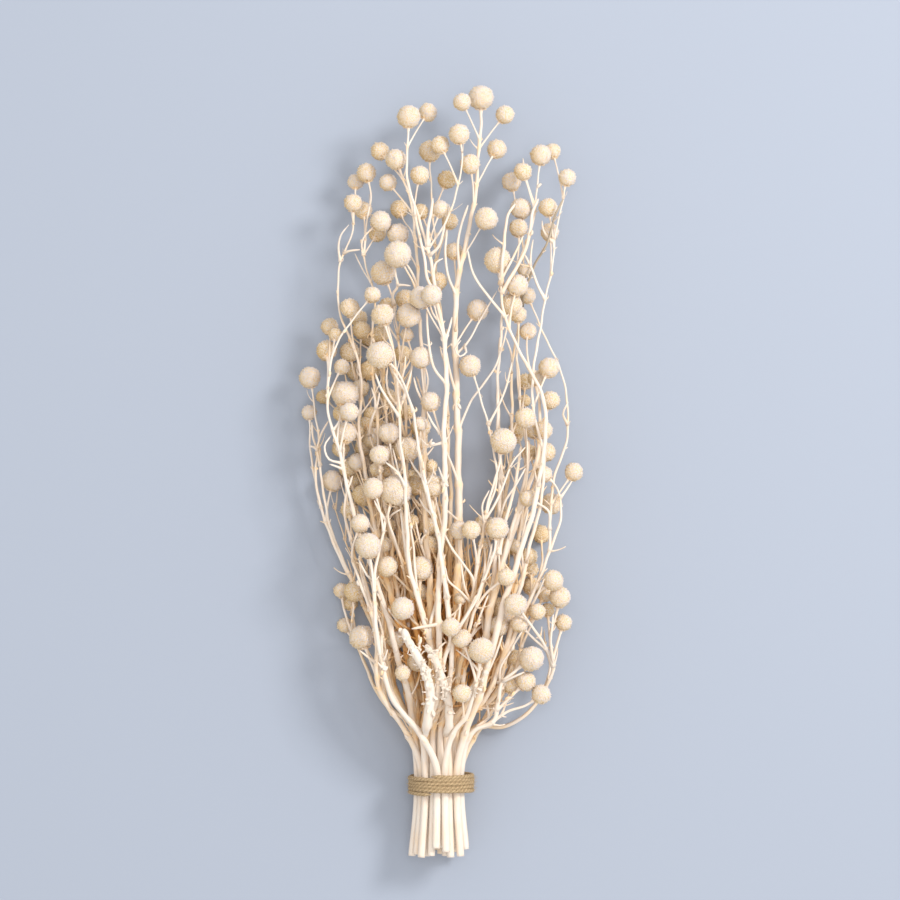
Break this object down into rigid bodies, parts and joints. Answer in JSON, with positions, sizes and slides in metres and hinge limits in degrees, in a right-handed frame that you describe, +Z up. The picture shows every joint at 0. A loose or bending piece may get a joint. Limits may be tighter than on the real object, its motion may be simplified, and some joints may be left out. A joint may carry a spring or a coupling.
{
  "type": "bunch of dried button-head branches",
  "caption": "Bunch of bleached dried branches with round, grainy button heads on forking twigs, lying flat and tied with twine near the cut ends.",
  "frame": {"origin": "centre of the bunch in plan, on the surface that it lies on", "axes": "+Y along the bunch towards its tips, +Z up from the surface, +X to the right seen from above with the tips away"},
  "size_m": [0.1416, 0.3857, 0.0599],
  "materials": {
    "dried_branch": "bleached, dry and matte",
    "twine": "rough natural fibre"
  },
  "bodies": {
    "root": {"spray_01": "dried_branch", "spray_02": "dried_branch", "spray_03": "dried_branch", "spray_04": "dried_branch", "spray_05": "dried_branch", "spray_06": "dried_branch", "spray_07": "dried_branch", "spray_08": "dried_branch", "spray_09": "dried_branch", "spray_10": "dried_branch", "spray_11": "dried_branch", "spray_12": "dried_branch", "spray_13": "dried_branch", "spray_14": "dried_branch", "spray_15": "dried_branch", "spray_16": "dried_branch", "spray_17": "dried_branch", "spray_18": "dried_branch", "spray_19": "dried_branch", "spray_20": "dried_branch", "spray_21": "dried_branch", "spray_22": "dried_branch", "spray_23": "dried_branch", "spray_24": "dried_branch", "spray_25": "dried_branch", "spray_26": "dried_branch", "spray_27": "dried_branch", "spray_28": "dried_branch", "spray_29": "dried_branch", "spray_30": "dried_branch", "spray_31": "dried_branch", "spray_32": "dried_branch", "spray_33": "dried_branch", "spray_34": "dried_branch", "tie": "twine"}
  },
  "joints": []
}
